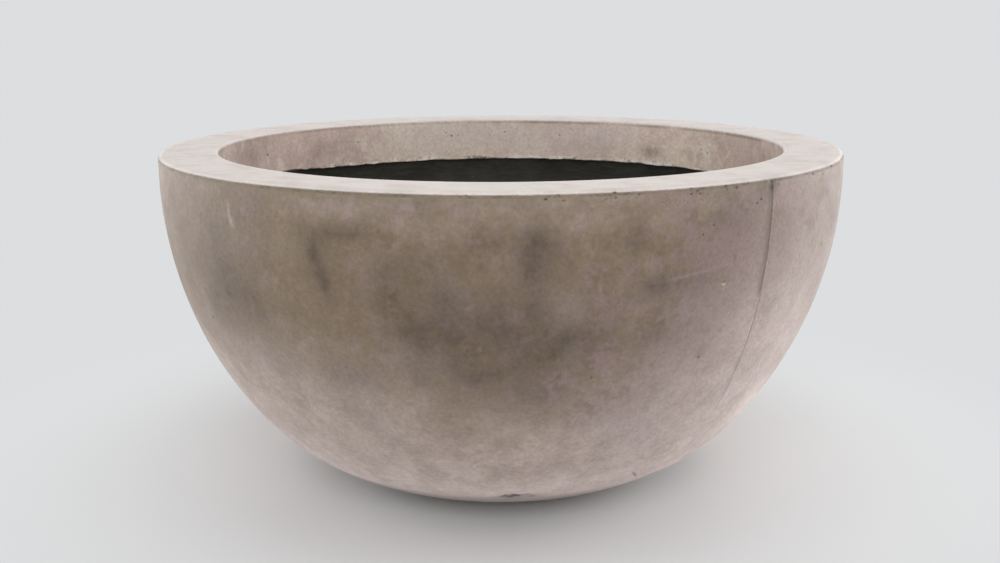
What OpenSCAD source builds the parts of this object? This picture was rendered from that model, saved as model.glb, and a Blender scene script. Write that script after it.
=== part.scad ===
// Concrete bowl planter: one cast bowl with a turned-in rim, its waterproof lining,
// a drain sleeve through the floor and a rubber plug. +Z is up and the origin is the
// centre of the base, on the ground. The bowl is drawn as a half section and turned.

/* [Bowl] */
// Outside diameter at the rim
bowl_d = 800; // [700:10:1000]
// Height from the ground to the top of the rim
bowl_h = 395; // [330:5:450]
// Height of the upright band under the rim's outer edge
band_h = 27; // [10:1:50]
// Diameter of the flat base
base_d = 230; // [180:5:300]
// Slope angle at which the long arc of the wall meets the arc of the base
turn_a = 38; // [30:1:50]
// Thickness of the cast wall and floor
wall_t = 16; // [12:1:25]

/* [Rim] */
// Width of the flat, trowelled lip
lip_w = 66; // [50:1:90]
// Depth of the upright collar inside the lip
collar_h = 59; // [40:1:80]
// Width of the level ledge under the collar
ledge_w = 12; // [5:1:20]
// Slope of the rim's underside, from level
haunch_a = 58; // [45:1:70]
// Rounding of the lip's outer edge
lip_edge_r = 7; // [2:0.5:12]
// Rounding of the lip's inner edge
mouth_edge_r = 3; // [1:0.5:6]

/* [Foot] */
// Width of the ring that the bowl stands on
foot_w = 26; // [15:1:40]
// Depth of the recess inside that ring
foot_h = 5; // [2:0.5:8]
// Number of drain notches across the ring
notch_n = 4; // [2:1:8]
// Depth of each notch
notch_h = 4; // [1:0.5:4.5]
// Width of each notch on the ground
notch_w = 26; // [12:1:40]

/* [Mould line] */
// Direction of the mould's parting plane, from +X
seam_a = -49.6; // [-90:0.1:90]
// Width of the fin that the mould leaves there
seam_w = 2.5; // [1:0.5:6]
// Height of that fin
seam_h = 0.8; // [0.4:0.1:2]

/* [Lining] */
// Thickness of the waterproof coat
coat_t = 2; // [1:0.5:4]

/* [Drain] */
// Diameter of the hole through the cast floor
drain_d = 42; // [34:1:60]
// Wall of the sleeve's tube
sleeve_t = 3; // [2:0.5:5]
// Width of the sleeve's flange around the hole
flange_w = 12; // [6:1:20]
// Thickness of the flange
flange_t = 3; // [2:0.5:5]
// Chamfer on the flange's upper edge
flange_c = 1.2; // [0.5:0.1:1.8]

/* [Plug] */
// Length of the plug below its head
plug_l = 16; // [10:1:18]
// Draft of the plug's side, in degrees
plug_draft = 4; // [1:0.5:8]
// Overlap of the head on the flange
head_lap = 6; // [2:0.5:9]
// Thickness of the head
head_t = 6; // [4:0.5:10]
// Rounding of the head's upper edge
head_r = 2; // [0.5:0.5:3.5]
// Width of the pull tab
tab_w = 24; // [16:1:28]
// Thickness of the pull tab
tab_t = 7; // [4:0.5:10]
// Height of the pull tab above the head
tab_h = 20; // [14:1:30]

/* [Fits] */
// Gap round each piece where it seats on its neighbour
seat_gap = 0.3; // [0.2:0.05:0.5]

/* [Hidden] */
$fn = 240;
over = 1;                               // how far a cutting tool passes a face

// Outline of the bowl: an upright band, a long wall arc, a base arc and a flat base,
// each tangent to the next. The two radii follow from the height and the diameters.
rim_r = bowl_d / 2;
base_r = base_d / 2;
wall_z = bowl_h - band_h;               // level where the wall arc starts
turn_s = sin(turn_a);
turn_c = cos(turn_a);
turn_k = (1 - turn_c) * (1 - turn_s) - turn_s * turn_c;
wall_r = ((rim_r - base_r) * (1 - turn_s) - wall_z * turn_c) / turn_k;
blend_r = (wall_z * (1 - turn_c) - (rim_r - base_r) * turn_s) / turn_k;

// Rim
mouth_r = rim_r - lip_w;
collar_z = bowl_h - collar_h;           // lower edge of the collar
ledge_r = mouth_r + ledge_w;

// Drain, from the floor up
coat_z = wall_t + seat_gap + coat_t;    // upper face of the lining on the floor
sleeve_r = drain_d / 2 - seat_gap;
bore_r = sleeve_r - sleeve_t;
flange_z = coat_z + seat_gap;
flange_r = drain_d / 2 + flange_w;
head_z = flange_z + flange_t + seat_gap;
head_rad = bore_r + head_lap;
foot_in_r = base_r - foot_w;
notch_r = (notch_h * notch_h + notch_w * notch_w / 4) / (2 * notch_h);

// What lies outside an arc of radius r about c, between its end angles a0 and a1
module shave(c, r, a0, a1) {
    reach = r + over;
    mid = (a0 + a1) / 2;
    corner = reach / cos((a1 - a0) / 2);
    difference() {
        polygon([
            c,
            c + reach * [cos(a0), sin(a0)],
            c + corner * [cos(mid), sin(mid)],
            c + reach * [cos(a1), sin(a1)]
        ]);
        translate(c)
            circle(r);
    }
}

// Half section of the bowl's whole outline, drawn in by inset on every side. It starts
// as straight lines that touch the arcs, and the arcs are then cut from its corners.
module bowl_section(inset) {
    difference() {
        polygon([
            [0, inset],
            [base_r + (blend_r - inset) * tan(45 - turn_a / 2), inset],
            [rim_r - inset, wall_z - (wall_r - inset) * tan(turn_a / 2)],
            [rim_r - inset, bowl_h],
            [0, bowl_h]
        ]);
        shave([base_r, blend_r], blend_r - inset, -90, -turn_a);
        shave([rim_r - wall_r, wall_z], wall_r - inset, -turn_a, 0);
    }
}

// Half section of the space under the rim: it stops at a level top and at the
// sloping underside that carries the collar's ledge out to the wall
module under_rim(inset, top) {
    edge_r = ledge_r - inset * sin(haunch_a);
    edge_z = collar_z - inset * cos(haunch_a);
    polygon([
        [0, 0],
        [edge_r + edge_z / tan(haunch_a), 0],
        [edge_r + (edge_z - top) / tan(haunch_a), top],
        [0, top]
    ]);
}

// Half section of the hollow below the collar, drawn in from the cast face by inset
module belly_section(inset, top) {
    intersection() {
        bowl_section(wall_t + inset);
        under_rim(inset, top);
    }
}

// What an edge rounding takes off a square corner at the origin, which points to
// +X and +Y
module round_off(r) {
    translate([-r, -r])
        difference() {
            square(r + over);
            circle(r);
        }
}

// Half section of the casting: wall, floor, lip, collar, the rim's underside, the
// recess inside the foot ring and the drain hole
module cast_section() {
    difference() {
        bowl_section(0);
        belly_section(0, collar_z);
        translate([0, -over])
            square([foot_in_r, foot_h + over]);
        translate([0, -over])
            square([drain_d / 2, wall_t + 2 * over]);
        translate([0, collar_z - over])
            square([mouth_r, collar_h + 2 * over]);
        translate([rim_r, bowl_h])
            round_off(lip_edge_r);
        translate([mouth_r, bowl_h])
            mirror([1, 0, 0])
                round_off(mouth_edge_r);
    }
}

// Fin left by the mould: one narrow turn of the wall, raised by seam_h
module parting_fin() {
    fin_a = seam_w / rim_r * 180 / PI;
    rotate([0, 0, seam_a - fin_a / 2])
        rotate_extrude(angle = fin_a)
            intersection() {
                difference() {
                    bowl_section(-seam_h);
                    bowl_section(wall_t / 2);
                }
                translate([base_r, foot_h])
                    square([rim_r, bowl_h - 1.5 * lip_edge_r - foot_h]);
            }
}

// Rounded groove across the foot ring that lets water out from under the bowl
module drain_notch() {
    translate([foot_in_r - notch_h, 0, notch_h - notch_r])
        rotate([0, 90, 0])
            cylinder(r = notch_r, h = rim_r);
}

module shell() {
    color([0.53, 0.48, 0.43])
        difference() {
            union() {
                rotate_extrude()
                    cast_section();
                for (half = [0, 180])
                    rotate([0, 0, half])
                        parting_fin();
            }
            for (i = [0 : notch_n - 1])
                rotate([0, 0, (i + 0.5) * 360 / notch_n])
                    drain_notch();
        }
}

module lining() {
    color([0.08, 0.09, 0.08])
        rotate_extrude()
            difference() {
                belly_section(seat_gap, collar_z - seat_gap);
                belly_section(seat_gap + coat_t, collar_z);
                square([drain_d / 2, coat_z + over]);
            }
}

module drain_sleeve() {
    color([0.16, 0.16, 0.17])
        rotate_extrude()
            polygon([
                [bore_r, foot_h],
                [sleeve_r, foot_h],
                [sleeve_r, flange_z],
                [flange_r, flange_z],
                [flange_r, flange_z + flange_t - flange_c],
                [flange_r - flange_c, flange_z + flange_t],
                [bore_r, flange_z + flange_t]
            ]);
}

module drain_plug() {
    side_r = bore_r - seat_gap;
    toe_r = side_r - plug_l * tan(plug_draft);
    color([0.11, 0.11, 0.11]) {
        rotate_extrude()
            difference() {
                union() {
                    polygon([
                        [0, head_z - plug_l],
                        [toe_r, head_z - plug_l],
                        [side_r, head_z],
                        [0, head_z]
                    ]);
                    translate([0, head_z])
                        square([head_rad, head_t]);
                }
                translate([head_rad, head_z + head_t])
                    round_off(head_r);
            }
        // Pull tab: a flat lug with a round top, rooted in the head
        translate([0, tab_t / 2, head_z + head_t + tab_h - tab_w / 2])
            rotate([90, 0, 0])
                cylinder(d = tab_w, h = tab_t);
        translate([-tab_w / 2, -tab_t / 2, head_z + head_t / 2])
            cube([tab_w, tab_t, head_t / 2 + tab_h - tab_w / 2]);
    }
}

shell();
lining();
drain_sleeve();
drain_plug();
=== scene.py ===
import math

import bpy
import numpy as np
from mathutils import Matrix, Vector


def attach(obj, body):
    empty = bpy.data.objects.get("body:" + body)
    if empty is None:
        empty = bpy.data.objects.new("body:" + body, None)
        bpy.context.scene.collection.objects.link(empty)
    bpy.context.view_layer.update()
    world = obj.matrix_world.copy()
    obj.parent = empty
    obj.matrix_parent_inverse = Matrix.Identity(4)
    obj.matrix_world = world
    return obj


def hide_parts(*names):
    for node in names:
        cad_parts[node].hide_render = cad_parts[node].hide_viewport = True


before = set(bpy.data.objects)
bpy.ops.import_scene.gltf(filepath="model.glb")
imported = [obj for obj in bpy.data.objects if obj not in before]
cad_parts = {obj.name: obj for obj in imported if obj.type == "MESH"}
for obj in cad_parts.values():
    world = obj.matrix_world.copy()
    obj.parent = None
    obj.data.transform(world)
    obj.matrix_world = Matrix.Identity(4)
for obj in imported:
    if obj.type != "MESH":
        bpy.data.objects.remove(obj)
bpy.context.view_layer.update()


# --- The cast bowl --------------------------------------------------------------------
# One pour of fibre-reinforced concrete: foot, wall, trowelled lip and the collar inside
# it. It is cast in a mould of two halves, whose joint leaves a line down both sides, and
# four shallow notches across the foot ring let the water out from under it.

RIM_RADIUS = 0.400
RIM_HEIGHT = 0.395
BASE_RADIUS = 0.115
BASE_ARC_RADIUS = 0.24141       # the belly turns up from the base on this arc
WALL_ARC_CENTRE = (-0.04702, 0.368)
WALL_ARC_RADIUS = 0.44702       # and runs on to the rim on this one
TURN_ANGLE = 38.0               # slope at which the two arcs meet, in degrees
WALL = 0.016
LIP_EDGE = 0.007                # rounding of the lip's outer edge
MOUTH_EDGE = 0.003              # rounding of its inner edge
MOUTH_RADIUS = 0.334
COLLAR_FOOT = 0.336             # height of the collar's lower edge
FOOT_BAND = 0.006               # height of the smaller faces above that edge
BURR_WIDTH = 0.0015
BURR = 0.0012                   # how far the collar's edge hangs below the ledge
LEDGE_RADIUS = 0.346
HAUNCH_ANGLE = 58.0             # slope of the rim's underside, in degrees
RECESS_RADIUS = 0.089
RECESS_DEPTH = 0.005
RECESS_CHAMFER = 0.001
DRAIN_RADIUS = 0.021
NOTCHES = 4
NOTCH_DEPTH = 0.004
NOTCH_WIDTH = 0.026
SEAM_ANGLE = -49.6              # direction of the mould line from +X, in degrees
SEAM_CUTS = 5                   # cuts in each column of faces beside the mould line
COLUMNS = 540                   # faces round the bowl
WELD = 0.00001                  # points nearer to each other than this become one


def start_section(name, radius, height):
    """A piece that is one point so far, from which its half section is drawn."""
    bpy.ops.object.select_all(action="DESELECT")
    bpy.ops.mesh.primitive_plane_add(size=0.01, location=(0, 0, 0))
    piece = bpy.context.object
    piece.name = piece.data.name = name
    bpy.ops.object.mode_set(mode="EDIT")
    bpy.ops.mesh.select_mode(type="VERT")
    bpy.ops.mesh.merge(type="CENTER")
    bpy.ops.transform.translate(value=(radius, 0, height))
    return piece


def draw_section(start, strokes):
    """Draw on from the point by straight lines and arcs, in the plane of X and Z. A line
    is (end radius, end height, steps) and an arc (centre radius, centre height, degrees,
    steps)."""
    r, z = start
    for kind, *stroke in strokes:
        if kind == "line":
            to_r, to_z, steps = stroke
            step = ((to_r - r) / steps, 0, (to_z - z) / steps)
            for _ in range(steps):
                bpy.ops.mesh.extrude_region_move(TRANSFORM_OT_translate={"value": step})
            r, z = to_r, to_z
        else:
            centre_r, centre_z, sweep, steps = stroke
            turn = math.radians(sweep)
            bpy.ops.mesh.spin(steps=steps, angle=turn, center=(centre_r, 0, centre_z),
                              axis=(0, 1, 0))
            out, up = r - centre_r, z - centre_z
            r = centre_r + out * math.cos(turn) - up * math.sin(turn)
            z = centre_z + out * math.sin(turn) + up * math.cos(turn)


def turn_section(piece, columns):
    """Turn the section once round the bowl's axis."""
    bpy.ops.object.mode_set(mode="OBJECT")
    bpy.ops.object.modifier_add(type="SCREW")
    turned = piece.modifiers[-1]
    turned.steps = turned.render_steps = columns
    turned.use_merge_vertices = True
    turned.merge_threshold = WELD
    bpy.ops.object.modifier_apply(modifier=turned.name)
    bpy.ops.object.mode_set(mode="EDIT")
    bpy.ops.mesh.select_all(action="SELECT")
    bpy.ops.mesh.remove_doubles(threshold=WELD)
    bpy.ops.mesh.normals_make_consistent(inside=False)
    bpy.ops.object.mode_set(mode="OBJECT")


def under_rim(height, inset=0.0):
    """Radius of the rim's sloping underside at this height, drawn in by inset."""
    slope = math.radians(HAUNCH_ANGLE)
    down = COLLAR_FOOT - inset * math.cos(slope) - height
    return LEDGE_RADIUS - inset * math.sin(slope) + down / math.tan(slope)


def under_rim_end(inset=0.0):
    """Where that underside runs into the wall, also drawn in by inset."""
    centre_r, centre_z = WALL_ARC_CENTRE
    reach = WALL_ARC_RADIUS - WALL - inset
    slope = math.radians(HAUNCH_ANGLE)
    along, down = math.cos(slope), -math.sin(slope)
    out, up = under_rim(COLLAR_FOOT, inset) - centre_r, COLLAR_FOOT - centre_z
    half = out * along + up * down
    run = -half + math.sqrt(half * half - out * out - up * up + reach * reach)
    r, z = centre_r + out + run * along, COLLAR_FOOT + run * down
    return r, z, math.degrees(math.atan2(z - centre_z, r - centre_r))


def points_of(piece):
    """The piece's points and their outward directions."""
    mesh = piece.data
    places = np.empty(len(mesh.vertices) * 3)
    mesh.vertices.foreach_get("co", places)
    outward = np.empty(len(mesh.vertices) * 3)
    mesh.vertex_normals.foreach_get("vector", outward)
    return places.reshape(-1, 3), outward.reshape(-1, 3)


def measures_of(piece):
    """The piece's points, and for each one its distance from the axis, its height, how far
    it faces away from the axis and how far it faces up."""
    places, outward = points_of(piece)
    radius = np.hypot(places[:, 0], places[:, 1])
    facing_out = (outward[:, 0] * places[:, 0] + outward[:, 1] * places[:, 1]) / radius
    return places, radius, places[:, 2], facing_out, outward[:, 2]


def choose(piece, kind, chosen):
    """Go to edit mode with only these points, edges or faces selected."""
    mesh = piece.data
    bpy.context.tool_settings.mesh_select_mode = [kind == k for k in ("points", "edges", "faces")]
    for parts, name in ((mesh.vertices, "points"), (mesh.edges, "edges"), (mesh.polygons, "faces")):
        marks = chosen if name == kind else np.zeros(len(parts), dtype=bool)
        parts.foreach_set("select", marks)
    bpy.context.view_layer.objects.active = piece
    bpy.ops.object.mode_set(mode="EDIT")


def split_columns_at_mould_lines(piece):
    """Cut the columns of faces beside the two mould lines, which lie in the plane of X
    and Z, into narrow ones. Only the level edges that cross those columns are chosen."""
    least_span, furthest = 0.25, 1.0        # in degrees round the bowl
    mesh = piece.data
    ends = np.empty(len(mesh.edges) * 2, dtype=np.int64)
    mesh.edges.foreach_get("vertices", ends)
    places = points_of(piece)[0]
    bearing = np.degrees(np.arctan2(places[:, 1], np.abs(places[:, 0])))[ends].reshape(-1, 2)
    crosses = np.abs(bearing[:, 0] - bearing[:, 1]) > least_span
    crosses &= np.abs(bearing).max(axis=1) < furthest
    choose(piece, "edges", crosses)
    bpy.ops.mesh.subdivide(number_cuts=SEAM_CUTS)
    bpy.ops.object.mode_set(mode="OBJECT")


haunch_r, haunch_z, haunch_turn = under_rim_end()
section_start = (DRAIN_RADIUS, RECESS_DEPTH)
casting = start_section("bowl_casting", *section_start)
draw_section(section_start, [
    ("line", RECESS_RADIUS, RECESS_DEPTH, 2),
    ("line", RECESS_RADIUS, RECESS_CHAMFER, 1),
    ("line", RECESS_RADIUS + RECESS_CHAMFER, 0, 1),
    ("line", BASE_RADIUS, 0, 3),
    ("arc", BASE_RADIUS, BASE_ARC_RADIUS, 90 - TURN_ANGLE, 22),
    ("arc", *WALL_ARC_CENTRE, TURN_ANGLE, 40),
    ("line", RIM_RADIUS, RIM_HEIGHT - LIP_EDGE, 4),
    ("arc", RIM_RADIUS - LIP_EDGE, RIM_HEIGHT - LIP_EDGE, 90, 5),
    ("line", MOUTH_RADIUS + MOUTH_EDGE, RIM_HEIGHT, 7),
    ("arc", MOUTH_RADIUS + MOUTH_EDGE, RIM_HEIGHT - MOUTH_EDGE, 90, 4),
    ("line", MOUTH_RADIUS, COLLAR_FOOT + FOOT_BAND, 7),
    ("line", MOUTH_RADIUS, COLLAR_FOOT, 2),
    ("line", MOUTH_RADIUS + BURR_WIDTH, COLLAR_FOOT - BURR, 1),
    ("line", LEDGE_RADIUS, COLLAR_FOOT, 2),
    ("line", haunch_r, haunch_z, 3),
    ("arc", *WALL_ARC_CENTRE, -TURN_ANGLE - haunch_turn, 9),
    ("arc", BASE_RADIUS, BASE_ARC_RADIUS, TURN_ANGLE - 90, 9),
    ("line", DRAIN_RADIUS, WALL, 2),
    ("line", *section_start, 1),
])
turn_section(casting, COLUMNS)
split_columns_at_mould_lines(casting)
casting.rotation_euler[2] = math.radians(SEAM_ANGLE)
bpy.ops.object.transform_apply(location=False, rotation=True, scale=False)


def face_radius(height):
    """Radius of the outer face at this height."""
    if height > WALL_ARC_CENTRE[1]:
        return RIM_RADIUS
    if height > BASE_ARC_RADIUS * (1 - math.sin(math.radians(TURN_ANGLE))):
        up = height - WALL_ARC_CENTRE[1]
        return WALL_ARC_CENTRE[0] + math.sqrt(WALL_ARC_RADIUS ** 2 - up ** 2)
    up = height - BASE_ARC_RADIUS
    return BASE_RADIUS + math.sqrt(BASE_ARC_RADIUS ** 2 - up ** 2)


def spot(places, azimuth, height, across, up, tilt=0.0, radius=None, reach=0.008):
    """How strongly a soft oval covers each point. Azimuth is in degrees to the right of
    the front; across and up are its half sizes; radius is for faces inside the rim; reach
    is how far in front of the oval and behind it a point may be."""
    turn = math.radians(azimuth)
    out = np.array([math.sin(turn), -math.cos(turn), 0.0])
    right = np.array([math.cos(turn), math.sin(turn), 0.0])
    slope = 0.0
    if radius is None:
        radius = face_radius(height)
        slope = (face_radius(height + 0.001) - face_radius(height - 0.001)) / 0.002
    rise = out * slope + np.array([0.0, 0.0, 1.0])
    rise /= np.linalg.norm(rise)
    away = places - (out * radius + np.array([0.0, 0.0, height]))
    u, v, w = away @ right, away @ rise, away @ np.cross(right, rise)
    lean = math.radians(tilt)
    u, v = u * math.cos(lean) + v * math.sin(lean), v * math.cos(lean) - u * math.sin(lean)
    return np.exp(-(u / across) ** 2 - (v / up) ** 2) * (np.abs(w) < reach)


OVAL_EDGE = 0.37                # what spot() gives on the outline of an oval


def weight_group(piece, name, weights):
    """Keep weights from 0 to 1, in steps, as a vertex group that a modifier works through."""
    steps = 20
    group = piece.vertex_groups.new(name=name)
    for step in range(1, steps + 1):
        chosen = np.flatnonzero(np.round(weights * steps) == step)
        if len(chosen):
            group.add(chosen.tolist(), step / steps, "REPLACE")
    return name


def roughen(piece, name, weights, size, height, direction="NORMAL", depth=2):
    """Raise and lower the surface by a cloudy pattern, where the weights say."""
    pattern = bpy.data.textures.new(name, "CLOUDS")
    pattern.noise_scale = size
    pattern.noise_depth = depth
    bpy.context.view_layer.objects.active = piece
    bpy.ops.object.modifier_add(type="DISPLACE")
    change = piece.modifiers[-1]
    change.texture = pattern
    change.direction = direction
    change.strength = height
    change.vertex_group = weight_group(piece, name, weights)
    bpy.ops.object.modifier_apply(modifier=change.name)


def soft_step(value, low, high):
    """0 below low, 1 above high, and smooth between."""
    share = np.clip((value - low) / (high - low), 0, 1)
    return share * share * (3 - 2 * share)


def press(piece, depths):
    """Move each point in along its own direction by its depth, as a sculpting brush does."""
    places, outward = points_of(piece)
    piece.data.vertices.foreach_set("co", (places - outward * depths[:, None]).ravel())
    piece.data.update()


def middles(piece):
    """The middle of every face."""
    found = np.empty(len(piece.data.polygons) * 3)
    piece.data.polygons.foreach_get("center", found)
    return found.reshape(-1, 3)


def cut_finer(piece, chosen, cuts):
    """Cut the chosen faces smaller."""
    choose(piece, "faces", chosen)
    bpy.ops.mesh.subdivide(number_cuts=cuts)
    bpy.ops.object.mode_set(mode="OBJECT")


# The worn arrises, round the rim and round the collar's foot, need smaller faces
centres = middles(casting)
away = np.hypot(centres[:, 0], centres[:, 1])
rim_band = (away > RIM_RADIUS - 0.009) & (centres[:, 2] > RIM_HEIGHT - 0.012)
foot_band = (np.abs(away - MOUTH_RADIUS) < 0.003) & (np.abs(centres[:, 2] - COLLAR_FOOT) < 0.006)
cut_finer(casting, rim_band | foot_band, 1)

# The cast face swells a little, the trowel leaves low waves, and both arrises are worn
_, radius, height, facing_out, facing_up = measures_of(casting)
on_face = soft_step(facing_out, 0.0, 0.3) * soft_step(height, 0.02, 0.08)
on_face *= height < RIM_HEIGHT - 0.002
on_lip = soft_step(facing_up, 0.5, 1.0) * soft_step(RIM_RADIUS - radius, 0.004, 0.02)
on_lip *= soft_step(radius - MOUTH_RADIUS, 0, 0.01) * (height > RIM_HEIGHT - 0.003)
on_collar = (radius < MOUTH_RADIUS + 0.001) * soft_step(height, COLLAR_FOOT, COLLAR_FOOT + 0.014)
on_arris = np.exp(-((radius - MOUTH_RADIUS) / 0.003) ** 2
                  - ((height - COLLAR_FOOT) / 0.0025) ** 2)
on_edge = np.exp(-((radius - RIM_RADIUS + 0.002) / 0.004) ** 2
                 - ((height - RIM_HEIGHT + 0.003) / 0.003) ** 2)
roughen(casting, "cast_swell", on_face, size=0.11, height=0.0010)
roughen(casting, "trowel_swell", on_lip, size=0.07, height=0.0010, direction="Z")
roughen(casting, "collar_swell", on_collar, size=0.06, height=0.0009)
roughen(casting, "uneven_arris", on_arris, size=0.028, height=0.0044, direction="Z")
roughen(casting, "broken_arris", on_arris, size=0.008, height=0.0030, direction="Z", depth=3)
roughen(casting, "worn_rim", on_edge, size=0.005, height=0.0008, depth=3)

# Marks finer than the faces, which are cut smaller there first. A hole is (degrees right
# of the front, height, half size), and a fine mark (degrees right of the front, height,
# half width, half height, tilt).
PINHOLES = [
    (37.9, 0.3747, 0.0008), (37.1, 0.3715, 0.0006), (35.0, 0.381, 0.0006), (27.6, 0.3485, 0.0006),
    (30.5, 0.2215, 0.0009), (29.3, 0.356, 0.0007), (32.2, 0.2992, 0.0006),
    (13.0, 0.214, 0.0007), (-52.0, 0.240, 0.0009), (58.0, 0.310, 0.0009), (71.0, 0.260, 0.0011),
    (96.0, 0.352, 0.0012), (118.0, 0.205, 0.0010), (131.0, 0.300, 0.0009), (163.0, 0.340, 0.0012),
    (177.0, 0.252, 0.0010), (-170.0, 0.312, 0.0008), (-148.0, 0.222, 0.0012),
    (-126.0, 0.356, 0.0009), (-101.0, 0.284, 0.0011), (-83.0, 0.338, 0.0008),
]
COLLAR_HOLES = [
    (-141.8, 0.368, 0.0009), (-167.2, 0.370, 0.0010), (-165.7, 0.375, 0.0006),
    (-168.8, 0.371, 0.0006), (179.0, 0.375, 0.0007), (164.7, 0.371, 0.0007),
    (124.0, 0.364, 0.0008), (121.8, 0.360, 0.0008), (98.0, 0.371, 0.0009),
    (-112.0, 0.366, 0.0012), (-58.0, 0.378, 0.0010), (-20.0, 0.369, 0.0012), (31.0, 0.380, 0.0010),
    (66.0, 0.364, 0.0012),
]
FINE_MARKS = [(27.0, 0.3115, 0.045, 0.004, 7.5), (-40.7, 0.362, 0.004, 0.018, 3),
              (30.6, 0.0645, 0.006, 0.016, 38), (2.6, 0.0495, 0.034, 0.010, 0)]
PITS, PITS_IN_FRONT = 60, 18    # small pits under the lip's outer edge
PIT_STRETCH = 1.7               # how much wider than high they are
BASE_CHIPS = 40

chance = np.random.default_rng(5)
RIM_PITS = [(chance.uniform(-5, 40) if pit < PITS_IN_FRONT else chance.uniform(40, 300),
             chance.uniform(0.3865, 0.3925), chance.uniform(0.0004, 0.0009))
            for pit in range(PITS)]

centres = middles(casting)
finer = np.zeros(len(centres), dtype=bool)
for marks, wider, taller, inner in ((PINHOLES, 0.0035, 0.0050, None),
                                    (COLLAR_HOLES, 0.0030, 0.0040, MOUTH_RADIUS)):
    for azimuth, rise, size in marks:
        finer |= spot(centres, azimuth, rise, size + wider, size + taller, 0, inner) > OVAL_EDGE
for azimuth, rise, wide, tall, tilt in FINE_MARKS:
    finer |= spot(centres, azimuth, rise, wide, tall + 0.003, tilt) > OVAL_EDGE
cut_finer(casting, finer, 5)
centres = middles(casting)
finer = np.zeros(len(centres), dtype=bool)
for azimuth, rise, size in RIM_PITS:
    finer |= spot(centres, azimuth, rise, size * PIT_STRETCH + 0.0014, size + 0.0012) > OVAL_EDGE
cut_finer(casting, finer, 2)

places, radius, height, facing_out, _ = measures_of(casting)
holes = np.zeros(len(places))
for marks, stretch, share, inner in ((PINHOLES, 1, 1, None), (RIM_PITS, PIT_STRETCH, 0.7, None),
                                     (COLLAR_HOLES, 1, 1, MOUTH_RADIUS)):
    for azimuth, rise, size in marks:
        hole = spot(places, azimuth, rise, size * stretch, size, 0, inner)
        holes = np.maximum(holes, share * hole)
base_chips = np.zeros(len(places))
for _ in range(BASE_CHIPS):
    azimuth, rise = chance.normal(2.6, 1.6), chance.normal(0.0495, 0.0026)
    wide, tall = chance.uniform(0.0012, 0.0042), chance.uniform(0.0008, 0.0018)
    base_chips += 0.5 * spot(places, azimuth, rise, wide, tall, chance.uniform(-12, 12))
base_chips = np.minimum(base_chips, 1.0)
fresh_chip = spot(places, 32.2, 0.2965, 0.0018, 0.0014)
tick = spot(places, 30.6, 0.0645, 0.0010, 0.0120, 38)

# The mould lines: a shallow trough with a raised edge beside it, which change sides about
# 0.277 m up, and a chip out of the rim where each line ends. Above that height the line
# is broader and flatter, and below 0.175 m it grows faint.
bearing = math.radians(SEAM_ANGLE)
across = places[:, 1] * math.cos(bearing) - places[:, 0] * math.sin(bearing)
across *= np.where(places[:, 0] * math.cos(bearing) + places[:, 1] * math.sin(bearing) > 0, 1, -1)
upper = soft_step(height, 0.272, 0.282)
crossover = upper * 2 - 1
strength = 0.30 + 0.70 * soft_step(height, 0.125, 0.175)
on_line = soft_step(facing_out, 0.0, 0.3) * soft_step(height, 0.02, 0.05)
on_line *= soft_step(RIM_HEIGHT - height, 0.003, 0.006) * strength
trough = np.exp(-((across + 0.0009 * crossover) / (0.0010 + 0.0004 * upper)) ** 2) * on_line
ridge = np.exp(-((across - (0.0017 - 0.0005 * upper) * crossover) / 0.0011) ** 2) * on_line
line_break = np.sin(height * 900) * np.sin(height * 377 + 1.0)
trough *= 0.8 + 0.2 * line_break
ridge *= 0.8 - 0.2 * line_break
beside_line = np.exp(-((across + 0.0022 * crossover) / (0.0022 + 0.0020 * upper)) ** 2) * on_line
rim_chip = np.exp(-(across / 0.0060) ** 2 - ((RIM_HEIGHT - 0.009 - height) / 0.006) ** 2)
rim_chip *= soft_step(facing_out, -0.2, 0.2) * (radius > RIM_RADIUS - 0.012)

LINE_RELIEF = 0.0005            # depths of the marks
RIM_CHIP_DEPTH = 0.0010
HOLE_DEPTH = 0.0020
BASE_CHIP_DEPTH = 0.0012
TICK_DEPTH = 0.0008
press(casting, (trough - ridge) * LINE_RELIEF * (1 - 0.45 * upper) + rim_chip * RIM_CHIP_DEPTH
      + holes * HOLE_DEPTH + base_chips * BASE_CHIP_DEPTH + tick * TICK_DEPTH)

# The notches across the foot ring, pushed up into it
places = points_of(casting)[0]
for notch in range(NOTCHES):
    turn = math.radians((notch + 0.5) * 360 / NOTCHES)
    beside = places[:, 1] * math.cos(turn) - places[:, 0] * math.sin(turn)
    ahead = places[:, 0] * math.cos(turn) + places[:, 1] * math.sin(turn) > 0
    roof = NOTCH_DEPTH * np.sqrt(np.clip(1 - (2 * beside / NOTCH_WIDTH) ** 2, 0, 1))
    lifts = ahead & (radius > RECESS_RADIUS - 0.0001) & (places[:, 2] < roof)
    places[:, 2] = np.where(lifts, roof, places[:, 2])

# A stretch of the collar's foot has broken off higher than the rest
BROKEN_AZIMUTH, BROKEN_SPREAD = -118.0, 11.0    # in degrees
BROKEN_RISE = 0.0056
azimuths = np.degrees(np.arctan2(places[:, 0], -places[:, 1]))
broken_off = np.exp(-((azimuths - BROKEN_AZIMUTH) / BROKEN_SPREAD) ** 2) * (radius < LEDGE_RADIUS)
broken_off *= 1 - soft_step(places[:, 2], COLLAR_FOOT, COLLAR_FOOT + 0.018)
broken_off *= 1 - soft_step(radius, MOUTH_RADIUS + BURR_WIDTH, LEDGE_RADIUS)
places[:, 2] += BROKEN_RISE * broken_off * (places[:, 2] > COLLAR_FOOT - 0.005)
casting.data.vertices.foreach_set("co", places.ravel())
casting.data.update()
bpy.ops.object.shade_smooth_by_angle(angle=math.radians(35))

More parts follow.
